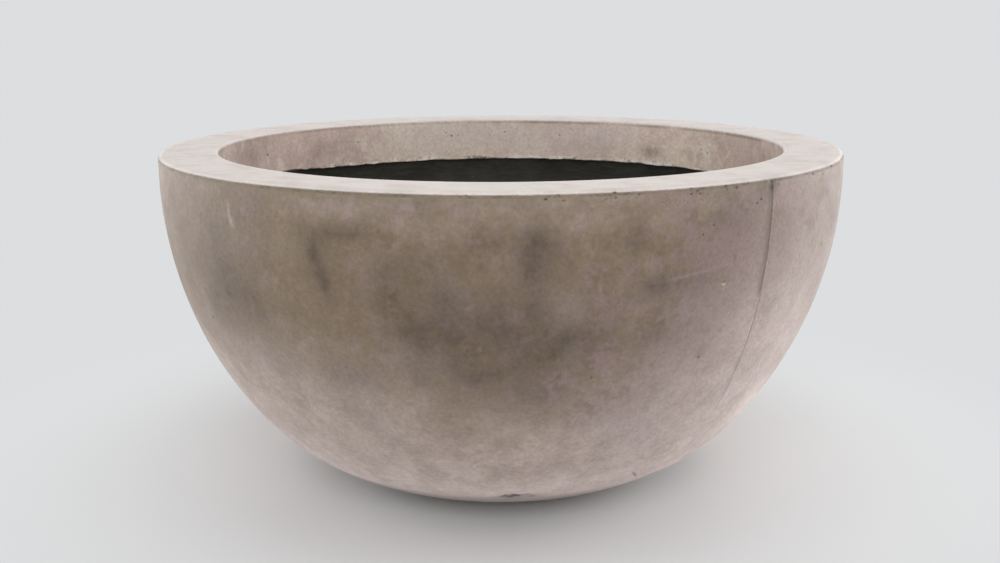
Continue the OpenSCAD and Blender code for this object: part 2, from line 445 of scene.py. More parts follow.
# Dark patches in the sealed face, partly rub marks and partly painted shade, and paler
# ones, partly lime bloom and partly painted light. The first ones are those the photograph
# shows; the last ones, and those that are drawn below, are the rest of the bowl's. A patch
# is (degrees right of the front, height, half width, half height, tilt, amount), and a
# pale patch below 0 takes off some of what the face has all round.
RUBBED_AND_SHADED = [
    (-25.6, 0.334, 0.009, 0.015, 0, 0.50), (-24.3, 0.306, 0.007, 0.022, 14, 0.44),
    (-21.0, 0.354, 0.032, 0.008, 0, 0.36), (-39.0, 0.275, 0.034, 0.028, 0, 0.14),
    (-37.0, 0.262, 0.012, 0.020, 8, 0.18), (4.9, 0.345, 0.019, 0.022, 0, 0.44),
    (4.3, 0.325, 0.015, 0.032, 0, 0.32), (0.0, 0.265, 0.095, 0.050, 0, 0.40),
    (-5.8, 0.236, 0.028, 0.018, -20, 0.32), (6.6, 0.246, 0.019, 0.036, -10, 0.30),
    (11.4, 0.255, 0.018, 0.018, 0, 0.32), (6.4, 0.197, 0.022, 0.018, 0, 0.32),
    (-3.1, 0.215, 0.020, 0.016, 0, 0.26), (17.6, 0.351, 0.009, 0.014, 0, 0.42),
    (25.5, 0.303, 0.040, 0.008, 7.5, 0.30), (-20.6, 0.207, 0.020, 0.018, 0, 0.28),
    (-19.6, 0.160, 0.018, 0.020, -30, 0.28), (-5.2, 0.333, 0.010, 0.010, 0, 0.26),
    (-8.4, 0.337, 0.010, 0.008, 0, 0.20), (-11.2, 0.256, 0.022, 0.030, 12, 0.22),
    (24.5, 0.246, 0.055, 0.022, 5, 0.10), (33.9, 0.357, 0.030, 0.016, 0, 0.20),
    (15.6, 0.169, 0.030, 0.020, 0, 0.16), (0.0, 0.200, 0.060, 0.035, 0, 0.20),
    (20.5, 0.306, 0.020, 0.010, 5, 0.30), (31.0, 0.362, 0.020, 0.012, 0, 0.20),
    (-11.0, 0.318, 0.030, 0.020, 0, 0.16), (-58.0, 0.290, 0.060, 0.090, 0, 0.09),
    (-12.0, 0.300, 0.120, 0.090, 0, 0.10), (38.5, 0.376, 0.014, 0.008, 0, 0.22),
    (-43.0, 0.280, 0.040, 0.050, 0, 0.44), (-36.5, 0.210, 0.034, 0.034, 0, 0.26),
    (27.0, 0.250, 0.045, 0.070, 0, 0.14), (23.0, 0.150, 0.045, 0.034, 0, 0.22),
    (26.0, 0.305, 0.040, 0.035, 0, 0.18), (-14.5, 0.312, 0.022, 0.026, 0, 0.24),
    (-25.0, 0.190, 0.030, 0.030, 0, 0.22), (-20.0, 0.130, 0.045, 0.024, 0, 0.18),
    (43.8, 0.325, 0.020, 0.038, 0, 0.24), (47.0, 0.260, 0.018, 0.020, 0, 0.18),
    (51.0, 0.305, 0.026, 0.030, 0, 0.14), (-44.5, 0.336, 0.020, 0.030, 0, 0.32),
    (-48.0, 0.250, 0.024, 0.026, 0, 0.40), (-7.4, 0.297, 0.014, 0.012, 0, 0.22),
    (-11.9, 0.213, 0.014, 0.014, 0, 0.20), (-24.1, 0.204, 0.016, 0.014, 0, 0.18),
    (23.5, 0.186, 0.024, 0.018, 0, 0.16), (180.0, 0.270, 0.120, 0.065, 0, 0.34),
    (150.0, 0.300, 0.110, 0.090, 0, 0.18), (-150.0, 0.290, 0.110, 0.080, 0, 0.28),
    (112.0, 0.265, 0.100, 0.070, 0, 0.24), (-105.0, 0.275, 0.110, 0.080, 0, 0.28),
]
BLOOM_AND_LIGHT = [
    (-19.7, 0.376, 0.035, 0.010, 0, 0.08), (-6.0, 0.297, 0.028, 0.020, 0, 0.04),
    (9.0, 0.296, 0.024, 0.018, 0, 0.08), (11.3, 0.369, 0.030, 0.011, 0, 0.08),
    (-15.6, 0.188, 0.030, 0.030, 0, 0.06), (-31.0, 0.338, 0.026, 0.018, 0, 0.06),
    (26.9, 0.275, 0.030, 0.011, 0, 0.06), (-14.2, 0.381, 0.030, 0.007, 0, 0.05),
    (42.0, 0.240, 0.110, 0.060, 0, 0.22), (46.0, 0.150, 0.110, 0.080, 0, 0.10),
    (0.0, 0.165, 0.120, 0.080, 0, -0.20), (0.0, 0.080, 0.140, 0.040, 0, -0.10),
    (50.0, 0.290, 0.070, 0.090, 0, 0.20), (57.0, 0.215, 0.060, 0.050, 0, 0.13),
    (74.0, 0.345, 0.050, 0.045, 0, 0.16), (-42.0, 0.345, 0.060, 0.050, 0, 0.08),
    (-40.0, 0.220, 0.110, 0.045, 0, 0.07), (27.0, 0.3115, 0.040, 0.0016, 7.5, 0.10),
    (-40.7, 0.362, 0.0014, 0.011, 3, 0.26), (-40.3, 0.354, 0.0018, 0.005, 3, 0.28),
    (-9.0, 0.236, 0.022, 0.020, 0, 0.07), (9.8, 0.238, 0.018, 0.018, 0, 0.05),
    (1.0, 0.060, 0.070, 0.016, 0, 0.12),
    (56.0, 0.125, 0.055, 0.036, 0, 0.26), (67.0, 0.285, 0.046, 0.045, 0, 0.18),
    (8.5, 0.272, 0.018, 0.015, 0, 0.08), (-15.0, 0.244, 0.018, 0.018, 0, 0.06),
    (-11.0, 0.367, 0.018, 0.014, 0, 0.05), (180.0, 0.150, 0.180, 0.080, 0, -0.20),
    (112.0, 0.140, 0.110, 0.070, 0, -0.13), (-112.0, 0.140, 0.130, 0.070, 0, -0.15),
]
# The collar's patches: darker ones, partly painted shade on its sides, and paler ones, partly
# painted light on its back
COLLAR_RUBBED_AND_SHADED = [
    (-138.0, 0.366, 0.090, 0.030, 0, 0.20), (160.0, 0.356, 0.030, 0.012, 0, 0.12),
    (-128.0, 0.352, 0.030, 0.012, 0, 0.16), (104.1, 0.372, 0.003, 0.022, 0, 0.26),
    (124.2, 0.357, 0.006, 0.005, 0, 0.34), (118.0, 0.374, 0.030, 0.012, 0, 0.12),
    (-165.0, 0.346, 0.060, 0.006, 0, 0.12), (154.0, 0.372, 0.012, 0.012, 0, 0.16),
    (-106.0, 0.380, 0.060, 0.030, 0, 0.22), (97.0, 0.380, 0.030, 0.020, 0, 0.18),
]
COLLAR_BLOOM_AND_LIGHT = [
    (178.0, 0.372, 0.130, 0.026, 0, 0.45), (172.0, 0.350, 0.050, 0.010, 0, 0.30),
    (-150.0, 0.360, 0.060, 0.018, 0, 0.12), (150.0, 0.376, 0.070, 0.014, 0, 0.40),
    (-163.0, 0.370, 0.090, 0.022, 0, 0.20), (157.0, 0.367, 0.040, 0.020, 0, 0.20),
]
# Stretches of the collar's foot that are breaking away, with a painted highlight along
# their edge, as (degrees right of the front, half width), and broad casts towards olive,
# or towards mauve where the amount is below 0
CRUMBLED_AND_HIGHLIT = [(176.0, 0.012), (171.5, 0.012), (164.5, 0.018), (146.0, 0.020), (139.0, 0.020),
            (134.0, 0.010), (-134.0, 0.004), (-139.0, 0.008), (-152.0, 0.004),
            (-161.0, 0.018), (-100.0, 0.012), (-70.0, 0.020), (-35.0, 0.014), (5.0, 0.020),
            (40.0, 0.012), (78.0, 0.018)]
CASTS = [(-30.0, 0.290, 0.150, 0.120, 0, 0.11), (-12.0, 0.130, 0.110, 0.060, 0, 0.10),
         (40.0, 0.280, 0.110, 0.150, 0, -0.17), (24.0, 0.150, 0.090, 0.080, 0, -0.13),
         (66.0, 0.300, 0.120, 0.140, 0, -0.12), (100.0, 0.250, 0.110, 0.100, 0, 0.12),
         (140.0, 0.300, 0.130, 0.120, 0, -0.12), (178.0, 0.230, 0.120, 0.120, 0, 0.12),
         (-140.0, 0.300, 0.120, 0.110, 0, -0.12), (-100.0, 0.230, 0.120, 0.110, 0, 0.10)]
COLLAR_CASTS = [(-104.0, 0.372, 0.110, 0.050, 0, -0.24), (-131.0, 0.370, 0.090, 0.050, 0, -0.20),
                (-163.0, 0.370, 0.110, 0.050, 0, 0.22), (126.0, 0.370, 0.070, 0.050, 0, 0.06),
                (103.0, 0.375, 0.060, 0.050, 0, -0.14), (-60.0, 0.366, 0.120, 0.050, 0, 0.15),
                (-10.0, 0.366, 0.110, 0.050, 0, -0.14), (45.0, 0.366, 0.120, 0.050, 0, 0.14)]
# What the photograph doesn't show is the outside's back and the collar's front. Each row
# is (patches, how many, where, lowest, highest, strongest).
HIDDEN_OUTSIDE, HIDDEN_COLLAR = (62, 298), (-95, 95)
chance = np.random.default_rng(7)
for patches, count, stretch, low, high, most in (
        (RUBBED_AND_SHADED, 55, HIDDEN_OUTSIDE, 0.14, 0.385, 0.40),
        (BLOOM_AND_LIGHT, 30, HIDDEN_OUTSIDE, 0.14, 0.385, 0.14),
        (COLLAR_RUBBED_AND_SHADED, 16, HIDDEN_COLLAR, 0.342, 0.390, 0.20),
        (COLLAR_BLOOM_AND_LIGHT, 10, HIDDEN_COLLAR, 0.342, 0.390, 0.30)):
    for _ in range(count):
        patches.append((chance.uniform(*stretch), chance.uniform(low, high),
                        chance.uniform(0.010, 0.045), chance.uniform(0.008, 0.030),
                        chance.uniform(-30, 30), chance.uniform(0.4, 1) * most))


def keep(piece, name, amounts):
    """Keep an amount for every point, which a material can read by name."""
    layer = piece.data.attributes.new(name, "FLOAT", "POINT")
    layer.data.foreach_set("value", amounts.astype(np.float32))


places, radius, height, *_ = measures_of(casting)
on_collar = (radius < MOUTH_RADIUS + 0.008) & (height > COLLAR_FOOT - 0.001)


def laid_on(outer, inner):
    """For each patch of the outside, and then of the collar, its amount on every point."""
    for patches, there, bore in ((outer, ~on_collar, None), (inner, on_collar, MOUTH_RADIUS)):
        for azimuth, rise, wide, tall, tilt, amount in patches:
            yield amount * spot(places, azimuth, rise, wide, tall, tilt, bore, reach=0.2) * there


warmth = sum(laid_on(CASTS, COLLAR_CASTS))
rubbed_and_shaded = np.zeros(len(places))
for amounts in laid_on(RUBBED_AND_SHADED, COLLAR_RUBBED_AND_SHADED):
    rubbed_and_shaded = 1 - (1 - rubbed_and_shaded) * (1 - amounts)
# Paler towards the foot, which is painted light from below, and a little paler in a band under the
# rim
bloom_and_light = 0.46 * soft_step(-height, -0.275, -0.110) + 0.30 * soft_step(-height, -0.130, -0.040)
bloom_and_light += 0.05 * soft_step(height, 0.345, 0.38) + 0.06 * soft_step(height, 0.374, 0.389)
bloom_and_light = np.where(on_collar, 0.0, bloom_and_light)
for amounts in laid_on(BLOOM_AND_LIGHT, COLLAR_BLOOM_AND_LIGHT):
    bloom_and_light += amounts
crumbled_and_highlit = np.zeros(len(places))
for azimuth, wide in CRUMBLED_AND_HIGHLIT:
    crumbs_and_highlight = spot(places, azimuth, COLLAR_FOOT + 0.0004, wide, 0.0038, 0, MOUTH_RADIUS)
    crumbled_and_highlit = np.maximum(crumbled_and_highlit, crumbs_and_highlight)

# Soiling in a smear on the collar and in the chips at the base, and painted contact shade
# round the foot, darkest low on the front
smear = spot(places, 139.2, 0.353, 0.016, 0.006, 0, MOUTH_RADIUS)
grime_and_contact_shade = smear * 0.7 + base_chips * 0.9 + 0.4 * spot(places, 2.5, 0.046, 0.026, 0.009)
grime_and_contact_shade += 0.65 * soft_step(-height, -0.053, -0.032) * (1 - 0.4 * soft_step(-height, -0.020, -0.004))

# Dark soiling in the holes, the chips and the mould line's trough, with painted shade in
# the holes and the trough
dirt_and_hollow_shade = holes * 1.6 + tick + base_chips * 0.75 + trough * (0.44 - 0.20 * upper)
dirt_and_hollow_shade += beside_line * (0.10 + 0.34 * upper)
dirt_and_hollow_shade += spot(places, 39.0, 0.3865, 0.016, 0.0070) * 0.32
dirt_and_hollow_shade += rim_chip * 0.36
pale_ridge_and_chip = ridge * (1.0 - 0.45 * upper) * soft_step(height, 0.200, 0.230) + fresh_chip

keep(casting, "rubbed_and_shaded", rubbed_and_shaded)
keep(casting, "bloom_and_light", bloom_and_light)
keep(casting, "grime_and_contact_shade", np.clip(grime_and_contact_shade, 0, 1))
keep(casting, "dirt_and_hollow_shade", np.clip(dirt_and_hollow_shade, 0, 1))
keep(casting, "crumbled_and_highlit", crumbled_and_highlit)
keep(casting, "warmth", warmth)
keep(casting, "pale_ridge_and_chip", np.clip(pale_ridge_and_chip, 0, 1))


def srgb(red, green, blue):
    """A colour as it is seen, 0 to 255, written as Blender's linear values."""
    return tuple(((c / 255 + 0.055) / 1.055) ** 2.4 if c > 10 else c / 3294.6
                 for c in (red, green, blue)) + (1.0,)


def node(tree, kind, inputs=None, **settings):
    """Add a node; an input is a value, or the output of another node."""
    made = tree.nodes.new(kind)
    for name, value in settings.items():
        setattr(made, name, value)
    for name, value in (inputs or {}).items():
        if isinstance(value, bpy.types.NodeSocket):
            tree.links.new(value, made.inputs[name])
        else:
            made.inputs[name].default_value = value
    return made


def maths(tree, operation, first, second, clamp=False):
    """One sum, with a value or a node's output on either side."""
    return node(tree, "ShaderNodeMath", {0: first, 1: second}, operation=operation,
                use_clamp=clamp).outputs[0]


def vectors(tree, operation, first, second):
    """The same for vectors and colours."""
    return node(tree, "ShaderNodeVectorMath", {0: first, 1: second},
                operation=operation).outputs[0]


def length(tree, vector):
    """How long a vector is."""
    return node(tree, "ShaderNodeVectorMath", {0: vector}, operation="LENGTH").outputs["Value"]


def times(tree, *values):
    """All the values multiplied together."""
    product = values[0]
    for value in values[1:]:
        product = maths(tree, "MULTIPLY", product, value)
    return product


def weighted(tree, *terms):
    """Each value times its weight, added together."""
    total = None
    for value, weight in terms:
        part = times(tree, value, weight)
        total = part if total is None else maths(tree, "ADD", total, part)
    return total


def fade(tree, value, low, high, start=0.0, end=1.0):
    """Run smoothly from start to end as value goes from low to high."""
    return node(tree, "ShaderNodeMapRange", {"Value": value, "From Min": low, "From Max": high,
                                             "To Min": start, "To Max": end},
                interpolation_type="SMOOTHSTEP").outputs[0]


def clouds(tree, vector, scale, detail=2.0, roughness=0.5):
    """A cloudy pattern from 0 to 1."""
    return node(tree, "ShaderNodeTexNoise", {"Vector": vector, "Scale": scale, "Detail": detail,
                                             "Roughness": roughness}).outputs["Fac"]


def dots(tree, vector, scale, size, share, amount=1.0):
    """Dots in a few cells of a random pattern. Size and share are the ends of a fade each."""
    cells = node(tree, "ShaderNodeTexVoronoi", {"Vector": vector, "Scale": scale})
    chosen = node(tree, "ShaderNodeSeparateColor", {0: cells.outputs["Color"]}).outputs[0]
    return times(tree, fade(tree, cells.outputs["Distance"], *size),
                 fade(tree, chosen, *share, 0.0, amount))


def painted(tree, name):
    """An amount kept on the points of the piece."""
    return node(tree, "ShaderNodeAttribute", attribute_name=name).outputs["Fac"]


def coat_over(tree, under, over, cover):
    """One colour laid over another where cover says."""
    mixed = node(tree, "ShaderNodeMix", data_type="RGBA", blend_type="MIX")
    for socket, value in (("Factor_Float", cover), ("A_Color", under), ("B_Color", over)):
        target = next(s for s in mixed.inputs if s.identifier == socket)
        if isinstance(value, bpy.types.NodeSocket):
            tree.links.new(value, target)
        else:
            target.default_value = value
    return next(s for s in mixed.outputs if s.identifier == "Result_Color")


def toned(tree, colour, tint, olive, mauve, most_olive, most_mauve):
    """A colour drawn towards olive where the tint is high, and to mauve where it is low."""
    colour = coat_over(tree, colour, olive, fade(tree, tint, 0.50, 0.68, 0, most_olive))
    return coat_over(tree, colour, mauve, fade(tree, tint, 0.50, 0.32, 0, most_mauve))


def below_rim(tree, level, foot, full_foot, full_top, top):
    """A level band on the casting, given by four distances down from the rim's top."""
    return times(tree, fade(tree, level, RIM_HEIGHT - foot, RIM_HEIGHT - full_foot),
                 fade(tree, level, RIM_HEIGHT - top, RIM_HEIGHT - full_top))


def new_material(name):
    """A material with only its shader and output, the shader, and the object's own space."""
    material = bpy.data.materials.new(name)
    material.use_nodes = True
    tree = material.node_tree
    shader = tree.nodes["Principled BSDF"]
    space = node(tree, "ShaderNodeTexCoord").outputs["Object"]
    return material, tree, shader, space


def surface(tree, shader, colour, roughness, relief, strength, distance):
    """Give the shader its colour and roughness, and a fine relief of this height."""
    bump = node(tree, "ShaderNodeBump", {"Height": relief, "Strength": strength,
                                         "Distance": distance})
    tree.links.new(colour, shader.inputs["Base Color"])
    tree.links.new(roughness, shader.inputs["Roughness"])
    tree.links.new(bump.outputs[0], shader.inputs["Normal"])


FACE_DARK = srgb(98, 83, 70)
FACE_MID = srgb(126, 109, 94)
FACE_LIGHT = srgb(154, 136, 121)
FACE_DARKENED = srgb(68, 58, 51)
FACE_OLIVE = srgb(125, 109, 88)
FACE_MAUVE = srgb(138, 118, 114)
# A pale colour for lime bloom and for painted light
PALE_BLOOM_AND_LIGHT = srgb(219, 204, 200)
LIP_PALE = srgb(223, 214, 209)
LIP_SHADE = srgb(208, 198, 192)
# A paler lip colour for a painted highlight along its inner edge
MOUTH_HIGHLIGHT = srgb(232, 224, 219)
COLLAR_PALE = srgb(227, 208, 194)
COLLAR_SHADE = srgb(200, 178, 165)
COLLAR_OLIVE = srgb(224, 210, 193)
COLLAR_MAUVE = srgb(203, 179, 170)
DARK_OLIVE = srgb(76, 73, 59)
EDGE_OLIVE = srgb(128, 117, 92)
HOLE_DARK = srgb(62, 49, 44)
PALE_MARK = srgb(196, 182, 170)
# Near white, for broken bits and a painted highlight along the collar's foot
CRUMB_HIGHLIGHT = srgb(248, 240, 231)

concrete, tree, shader, space = new_material("concrete")
parts = node(tree, "ShaderNodeSeparateXYZ", {0: space})
level = parts.outputs["Z"]
flat = node(tree, "ShaderNodeCombineXYZ", {"X": parts.outputs["X"], "Y": parts.outputs["Y"]})
flat = flat.outputs[0]
from_axis = length(tree, flat)

broad = clouds(tree, space, scale=11)
middle = clouds(tree, space, scale=28, detail=3.0, roughness=0.55)
small = clouds(tree, space, scale=85, detail=3.0, roughness=0.6)
fine = clouds(tree, space, scale=230, roughness=0.6)
grain = clouds(tree, space, scale=520, detail=3.0, roughness=0.7)
tint = weighted(tree, (clouds(tree, space, scale=75, roughness=0.55), 0.70),
                (clouds(tree, space, scale=19), 0.40))
tint = maths(tree, "ADD", maths(tree, "SUBTRACT", tint, 0.05), painted(tree, "warmth"))
mottle = weighted(tree, (broad, 0.48), (middle, 0.82), (small, 0.50))
face = node(tree, "ShaderNodeValToRGB", {"Fac": maths(tree, "SUBTRACT", mottle, 0.385)})
ramp = face.color_ramp
ramp.elements[0].position, ramp.elements[0].color = 0.18, FACE_DARK
ramp.elements[1].position, ramp.elements[1].color = 0.82, FACE_LIGHT
ramp.elements.new(0.50).color = FACE_MID
face_colour = toned(tree, face.outputs[0], tint, FACE_OLIVE, FACE_MAUVE, 0.85, 0.80)

# The lip is trowelled round and round, and the collar is cast against the mould
whorl = vectors(tree, "MULTIPLY", flat, (0.3, 0.3, 0.3))
rings = node(tree, "ShaderNodeCombineXYZ", {"Z": times(tree, from_axis, 7.0)}).outputs[0]
whorl = vectors(tree, "ADD", whorl, rings)
streaks = clouds(tree, whorl, scale=42, detail=3.0, roughness=0.6)
lip_colour = coat_over(tree, LIP_PALE, LIP_SHADE, fade(tree, middle, 0.42, 0.72))
lip_colour = vectors(tree, "MULTIPLY", lip_colour, fade(tree, streaks, 0.25, 0.75, 0.955, 1.035))
# A pale band along the lip's inner edge, broken up by the streaks, is a painted highlight
mouth_highlight = times(tree, fade(tree, from_axis, MOUTH_RADIUS + 0.0045, MOUTH_RADIUS + 0.0025),
                 fade(tree, streaks, 0.30, 0.60, 0.3, 1.0))
lip_colour = coat_over(tree, lip_colour, MOUTH_HIGHLIGHT, mouth_highlight)
collar_mottle = weighted(tree, (broad, 0.4), (middle, 0.4), (small, 0.2))
collar_colour = coat_over(tree, COLLAR_PALE, COLLAR_SHADE, fade(tree, collar_mottle, 0.36, 0.64))
collar_colour = toned(tree, collar_colour, tint, COLLAR_OLIVE, COLLAR_MAUVE, 0.75, 0.75)

# Face and collar first, then what lies on both, and the pale lip over them
inside = times(tree, fade(tree, from_axis, MOUTH_RADIUS + 0.0025, MOUTH_RADIUS + 0.001),
               fade(tree, level, COLLAR_FOOT - 0.010, COLLAR_FOOT - 0.008))
colour = coat_over(tree, face_colour, collar_colour, inside)
# Dark patches, partly rub marks and partly painted shade
ragged = fade(tree, weighted(tree, (middle, 0.7), (small, 0.3)), 0.37, 0.63, 0.45, 1.55)
colour = coat_over(tree, colour, FACE_DARKENED, times(tree, painted(tree, "rubbed_and_shaded"), ragged))
# Pale patches, partly lime bloom and partly painted light on the limbs, low down and on the
# collar's back
ragged = fade(tree, weighted(tree, (middle, 0.6), (small, 0.4)), 0.34, 0.66, 0.80, 1.20)
colour = coat_over(tree, colour, PALE_BLOOM_AND_LIGHT, times(tree, painted(tree, "bloom_and_light"), ragged))
wavering = times(tree, maths(tree, "SUBTRACT", fine, 0.5), 0.0017)
above = fade(tree, maths(tree, "ADD", level, wavering), RIM_HEIGHT - 0.0038, RIM_HEIGHT - 0.0019)
colour = coat_over(tree, colour, lip_colour, above)
speckle = maths(tree, "SUBTRACT", weighted(tree, (fine, 0.55), (grain, 0.45)), 0.5)
speckle = times(tree, speckle, times(tree, fade(tree, above, 0, 1, 1.0, 0.25), 0.95))
colour = vectors(tree, "MULTIPLY", colour, maths(tree, "ADD", 1.0, speckle))

# A thin dark line under the lip's outer edge, broken up, and an olive band below it
edge = fade(tree, from_axis, RIM_RADIUS - 0.006, RIM_RADIUS - 0.003)
patchy = fade(tree, weighted(tree, (middle, 0.5), (fine, 0.5)), 0.42, 0.62, 0.06, 0.66)
rim_line = times(tree, below_rim(tree, level, 0.0064, 0.0046, 0.0034, 0.0022), edge, patchy)
# Then the soiling and the painted contact shade kept on the points, with that line
patchy = fade(tree, weighted(tree, (middle, 0.6), (small, 0.4)), 0.35, 0.65, 0.75, 1.0)
grime_shade_and_lip_line = maths(tree, "MAXIMUM", rim_line, times(tree, painted(tree, "grime_and_contact_shade"), patchy))
olive_band = times(tree, below_rim(tree, level, 0.0130, 0.0060, 0.0032, 0.0020), edge,
                   fade(tree, painted(tree, "warmth"), -0.08, 0.08, 0.10, 0.36))
colour = coat_over(tree, colour, EDGE_OLIVE, olive_band)
colour = coat_over(tree, colour, DARK_OLIVE, grime_shade_and_lip_line)

# Pale broken bits, partly a painted highlight, and dark pits along the collar's foot, and a
# dark line along its top, just under the lip's inner edge
crumbs_and_highlight = times(tree, fade(tree, level, COLLAR_FOOT + 0.0030, COLLAR_FOOT + 0.0012), inside,
               fade(tree, weighted(tree, (middle, 0.5), (small, 0.5)), 0.53, 0.59, 0, 0.8))
crumbs_and_highlight = maths(tree, "MAXIMUM", crumbs_and_highlight,
               times(tree, painted(tree, "crumbled_and_highlit"), fade(tree, fine, 0.34, 0.46)))
colour = coat_over(tree, colour, CRUMB_HIGHLIGHT, crumbs_and_highlight)
pitted = weighted(tree, (middle, 0.45), (small, 0.25), (fine, 0.30))
pits = times(tree, fade(tree, level, COLLAR_FOOT + 0.0050, COLLAR_FOOT + 0.0020), inside,
             fade(tree, pitted, 0.45, 0.38, 0, 0.60))
colour = coat_over(tree, colour, HOLE_DARK, pits)
dark_line_under_mouth = times(tree, below_rim(tree, level, 0.0085, 0.0055, 0.0045, 0.0026), inside,
                    fade(tree, broad, 0.35, 0.65, 0.10, 0.42))
colour = coat_over(tree, colour, FACE_DARKENED, dark_line_under_mouth)

# Pale marks on the mould line's raised edge and at a chip, soiling and painted shade in the
# marks, pores all over, and dark specks under the lip, which are denser towards the right
pale_mark_amount = times(tree, painted(tree, "pale_ridge_and_chip"), fade(tree, fine, 0.35, 0.6))
colour = coat_over(tree, colour, PALE_MARK, pale_mark_amount)
dirt_and_shade_amount = times(tree, painted(tree, "dirt_and_hollow_shade"), fade(tree, fine, 0.25, 0.55, 0.55, 1.0))
colour = coat_over(tree, colour, HOLE_DARK, dirt_and_shade_amount)
pores = dots(tree, space, 160, (0.10, 0.06), (0.970, 0.980), 0.75)
colour = coat_over(tree, colour, HOLE_DARK, pores)
peppered = times(tree, fade(tree, level, 0.364, 0.386), fade(tree, middle, 0.42, 0.55), edge,
                 fade(tree, grain, 0.55, 0.62, 0, 0.48), fade(tree, above, 0.6, 0.1),
                 fade(tree, parts.outputs["X"], 0.02, 0.14, 0.40, 1.0))
colour = coat_over(tree, colour, HOLE_DARK, peppered)

shader.inputs["Specular IOR Level"].default_value = 0.3
shader.inputs["Sheen Weight"].default_value = 0.22
shader.inputs["Sheen Roughness"].default_value = 0.5
shader.inputs["Sheen Tint"].default_value = srgb(250, 240, 236)
surface(tree, shader, colour, roughness=fade(tree, small, 0.3, 0.7, 0.64, 0.82),
        relief=weighted(tree, (grain, 1.0), (fine, 1.5), (small, 1.0)),
        strength=0.35, distance=0.0006)
casting.data.materials.clear()
casting.data.materials.append(concrete)
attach(casting, "bowl")
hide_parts("shell")


# --- The waterproof coat --------------------------------------------------------------
# A black, slightly rubbery coat brushed over the inside, from the underside of the rim
# down to the drain, so that damp soil doesn't stain the casting.

COAT = 0.002                    # its thickness
COAT_GAP = 0.0003               # and its distance from the casting
COAT_TOP = COLLAR_FOOT - COAT_GAP
COAT_COLUMNS = 480

coat_back, coat_front = COAT_GAP, COAT_GAP + COAT
back_turn = under_rim_end(coat_back)[2]
front_r, front_z, front_turn = under_rim_end(coat_front)
section_start = (DRAIN_RADIUS, WALL + coat_back)
coat = start_section("brushed_coat", *section_start)
draw_section(section_start, [
    ("line", BASE_RADIUS, WALL + coat_back, 2),
    ("arc", BASE_RADIUS, BASE_ARC_RADIUS, 90 - TURN_ANGLE, 10),
    ("arc", *WALL_ARC_CENTRE, TURN_ANGLE + back_turn, 9),
    ("line", under_rim(COAT_TOP, coat_back), COAT_TOP, 2),
    ("line", under_rim(COAT_TOP, coat_front), COAT_TOP, 1),
    ("line", front_r, front_z, 10),
    ("arc", *WALL_ARC_CENTRE, -TURN_ANGLE - front_turn, 36),
    ("arc", BASE_RADIUS, BASE_ARC_RADIUS, TURN_ANGLE - 90, 24),
    ("line", DRAIN_RADIUS, WALL + coat_front, 12),
    ("line", *section_start, 1),
])
turn_section(coat, COAT_COLUMNS)
_, radius, height, facing_out, facing_up = measures_of(coat)
brushed = np.maximum(soft_step(-facing_out, 0.0, 0.2), soft_step(facing_up, 0.3, 0.8))
brushed *= soft_step(COAT_TOP - height, 0.0, 0.004) * soft_step(radius, 0.034, 0.040)
roughen(coat, "brushed_build_up", brushed, size=0.030, height=0.0010, depth=3)
bpy.ops.object.shade_smooth_by_angle(angle=math.radians(40))

COAT_BLACK = srgb(61, 61, 57)
COAT_WORN = srgb(83, 83, 77)
COAT_PAINTED_LIGHT = srgb(116, 115, 108)
COAT_SPECK = srgb(190, 184, 172)

bitumen, tree, shader, space = new_material("bitumen")
level = node(tree, "ShaderNodeSeparateXYZ", {0: space}).outputs["Z"]

# Brushed round and round, worn in patches, and paler further down, which is painted light
strokes = clouds(tree, vectors(tree, "MULTIPLY", space, (1.0, 1.0, 4.0)), scale=60, detail=4.0,
                 roughness=0.6)
cloudy = clouds(tree, space, scale=14, detail=3.0, roughness=0.55)
worn = fade(tree, weighted(tree, (cloudy, 0.6), (strokes, 0.4)), 0.44, 0.62)
colour = coat_over(tree, COAT_BLACK, COAT_WORN, worn)
colour = coat_over(tree, colour, COAT_PAINTED_LIGHT, fade(tree, level, 0.330, 0.280, 0, 0.55))
specks = dots(tree, space, 70, (0.07, 0.03), (0.86, 0.90))
colour = coat_over(tree, colour, COAT_SPECK, specks)
gloss = weighted(tree, (cloudy, 0.5), (strokes, 0.5))
surface(tree, shader, colour, roughness=fade(tree, gloss, 0.35, 0.65, 0.30, 0.58),
        relief=strokes, strength=0.6, distance=0.0025)
coat.data.materials.clear()
coat.data.materials.append(bitumen)
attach(coat, "bowl")
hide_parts("lining")


# --- The drain sleeve -----------------------------------------------------------------
# A moulded plastic sleeve glued through the floor, with a flange over the coat. It is the
# CAD's own solid, with its edges softened and its own plastic.

SLEEVE_GREY = srgb(78, 78, 80)
MOULD_DUST = srgb(110, 104, 96)
MOULDED_EDGE = 0.0006           # rounding of the edges of both mouldings
MOULDED_ANGLE = 50              # only edges that turn further are rounded, in degrees


def moulded(name, colour, low, high):
    """A plain moulding: a little dusty, with a fine spark-eroded grain. Low and high are
    the ends of its roughness."""
    material, tree, shader, space = new_material(name)
    dust = clouds(tree, space, scale=90, detail=4.0, roughness=0.6)
    shade = coat_over(tree, colour, MOULD_DUST, fade(tree, dust, 0.50, 0.85, 0, 0.4))
    surface(tree, shader, shade, roughness=fade(tree, dust, 0.3, 0.7, low, high),
            relief=clouds(tree, space, scale=1400), strength=0.25, distance=0.0002)
    return material


def dress(name, material):
    """Give one of the CAD's solids its material and softened edges."""
    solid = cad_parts[name]
    for holder in solid.material_slots:
        holder.material = material
    soften = solid.modifiers.new("moulded_edges", "BEVEL")
    soften.width, soften.segments = MOULDED_EDGE, 3
    soften.limit_method, soften.angle_limit = "ANGLE", math.radians(MOULDED_ANGLE)


dress("drain_sleeve", moulded("sleeve_plastic", SLEEVE_GREY, 0.35, 0.55))


